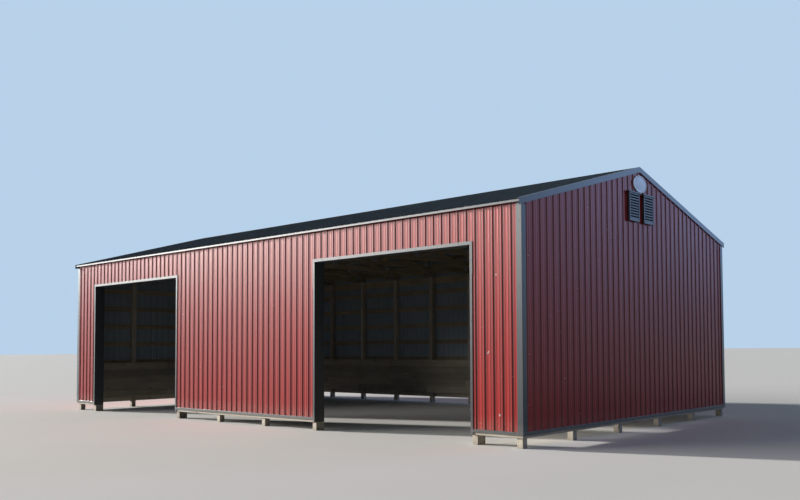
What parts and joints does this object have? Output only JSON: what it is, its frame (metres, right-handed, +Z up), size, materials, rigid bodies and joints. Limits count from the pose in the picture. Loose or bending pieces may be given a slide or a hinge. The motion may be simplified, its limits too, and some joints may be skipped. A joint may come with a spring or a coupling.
{
  "type": "red metal-clad pole barn",
  "caption": "Long gabled pole barn with ribbed steel siding and roofing on timber posts, open doorways along one long side and louvred vents in a gable.",
  "frame": {"origin": "on the ground under the middle of the building", "axes": "+X along the ridge towards the vented gable, +Y from the doorway side to the back, +Z up"},
  "size_m": [18.6016, 9.3212, 6.1318],
  "materials": {
    "red_siding": "satin",
    "charcoal_roofing": "satin",
    "charcoal_trim": "satin",
    "treated_timber": "matte",
    "framing_timber": "matte",
    "lining_timber": "matte",
    "vent_metal": "satin",
    "plaque_enamel": "gloss"
  },
  "bodies": {
    "root": {"front_siding_left": "red_siding", "front_siding_over_left_door": "red_siding", "front_siding_middle": "red_siding", "front_siding_over_right_door": "red_siding", "front_siding_right": "red_siding", "back_siding": "red_siding", "left_gable_siding": "red_siding", "right_gable_siding": "red_siding", "front_roof_sheet": "charcoal_roofing", "back_roof_sheet": "charcoal_roofing", "ridge_cap": "charcoal_roofing", "eave_trims": "charcoal_trim", "front_rake_trims": "charcoal_trim", "back_rake_trims": "charcoal_trim", "corner_trims": "charcoal_trim", "base_trims": "charcoal_trim", "door_jamb_trims": "charcoal_trim", "door_head_trims": "charcoal_trim", "long_skirt_boards": "treated_timber", "gable_skirt_boards": "treated_timber", "corner_posts": "treated_timber", "door_posts": "treated_timber", "front_posts": "treated_timber", "back_posts": "treated_timber", "left_gable_posts": "treated_timber", "right_gable_posts": "treated_timber", "front_girts": "framing_timber", "back_girts": "framing_timber", "left_gable_girts": "framing_timber", "right_gable_girts": "framing_timber", "door_head_boards": "framing_timber", "front_carriers": "framing_timber", "back_carriers": "framing_timber", "truss_bottom_chords": "framing_timber", "front_top_chords": "framing_timber", "back_top_chords": "framing_timber", "truss_uprights": "framing_timber", "truss_diagonals": "framing_timber", "front_purlins": "framing_timber", "back_purlins": "framing_timber", "eave_boards": "framing_timber", "front_lining": "lining_timber", "back_lining": "lining_timber", "left_gable_lining": "lining_timber", "right_gable_lining": "lining_timber", "front_gable_vent": "vent_metal", "back_gable_vent": "vent_metal", "gable_plaque": "plaque_enamel"}
  },
  "joints": []
}
